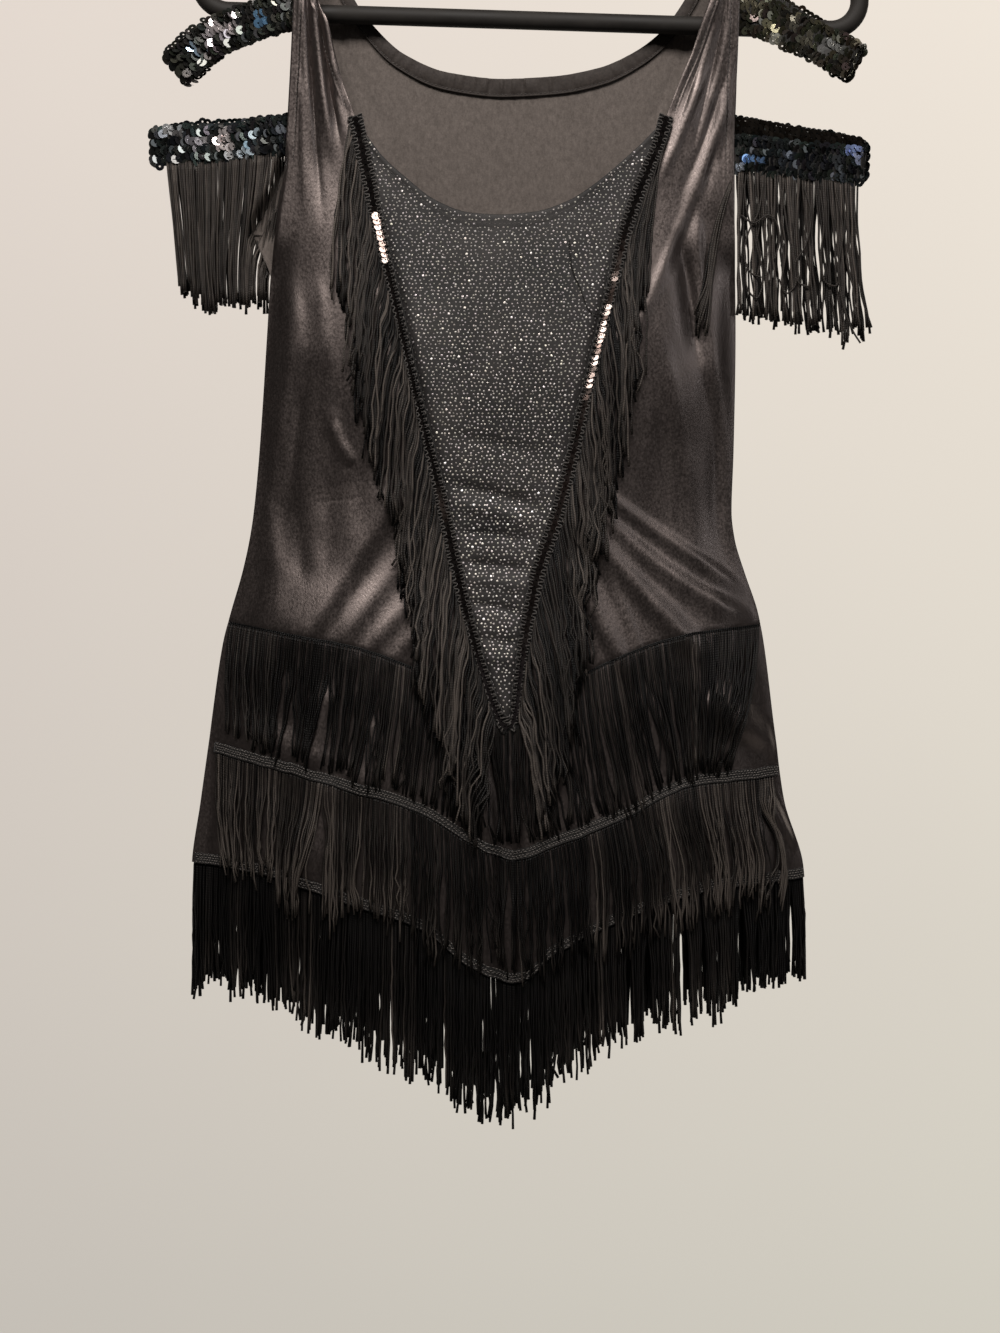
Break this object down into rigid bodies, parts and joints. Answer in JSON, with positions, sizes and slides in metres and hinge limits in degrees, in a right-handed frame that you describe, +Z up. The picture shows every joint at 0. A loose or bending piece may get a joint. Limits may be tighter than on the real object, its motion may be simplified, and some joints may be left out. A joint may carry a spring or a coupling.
{
  "type": "flapper dress on a tubular hanger",
  "caption": "Sleeveless stretch-satin dance dress with a V-shaped glitter inset, sequin cold-shoulder arm bands and tiered chainette fringe, hanging flat on a tubular hanger.",
  "frame": {"origin": "the inside top of the hanger's hook, where it rests on a rail", "axes": "+Z up, the dress's front faces -Y, +X to the right of someone who looks at the front"},
  "size_m": [0.4537, 0.0515, 0.8966],
  "materials": {
    "satin": "black stretch satin with a soft sheen, matt warm grey on its wrong side",
    "glitter_cloth": "black knit with small silver glitter dots",
    "fringe_cord": "black rayon chainette fringe, slight sheen",
    "header_tape": "black braided header tape, matt",
    "trim_tape": "black tape with zigzag stitching and a string of small copper-toned sequins",
    "sequins": "near-black flat sequins on stretch elastic, glossy with silver and blue glints",
    "hanger_plastic": "black moulded plastic, satin gloss"
  },
  "bodies": {
    "root": {"front_left": "satin", "front_right": "satin", "front_inset": "glitter_cloth", "back": "satin", "back_neck_casing": "satin", "skirt_front": "satin", "skirt_back": "satin", "fringe_tier1_front": "fringe_cord", "fringe_tier1_back": "fringe_cord", "tape_tier2_front": "header_tape", "tape_tier2_back": "header_tape", "fringe_tier2_front": "fringe_cord", "fringe_tier2_back": "fringe_cord", "tape_tier3_front": "header_tape", "tape_tier3_back": "header_tape", "fringe_tier3_front": "fringe_cord", "fringe_tier3_back": "fringe_cord", "trim_left": "trim_tape", "trim_right": "trim_tape", "v_fringe_left": "fringe_cord", "v_fringe_right": "fringe_cord", "arm_band_upper_left": "sequins", "arm_band_upper_right": "sequins", "arm_band_lower_left": "sequins", "arm_band_lower_right": "sequins", "band_fringe_left_front": "fringe_cord", "band_fringe_left_back": "fringe_cord", "band_fringe_right_front": "fringe_cord", "band_fringe_right_back": "fringe_cord", "hanger_bar": "hanger_plastic", "hanger_end_left": "hanger_plastic", "hanger_end_right": "hanger_plastic", "hanger_arm_left": "hanger_plastic", "hanger_arm_right": "hanger_plastic", "hanger_neck": "hanger_plastic", "hanger_hook": "hanger_plastic"}
  },
  "joints": []
}
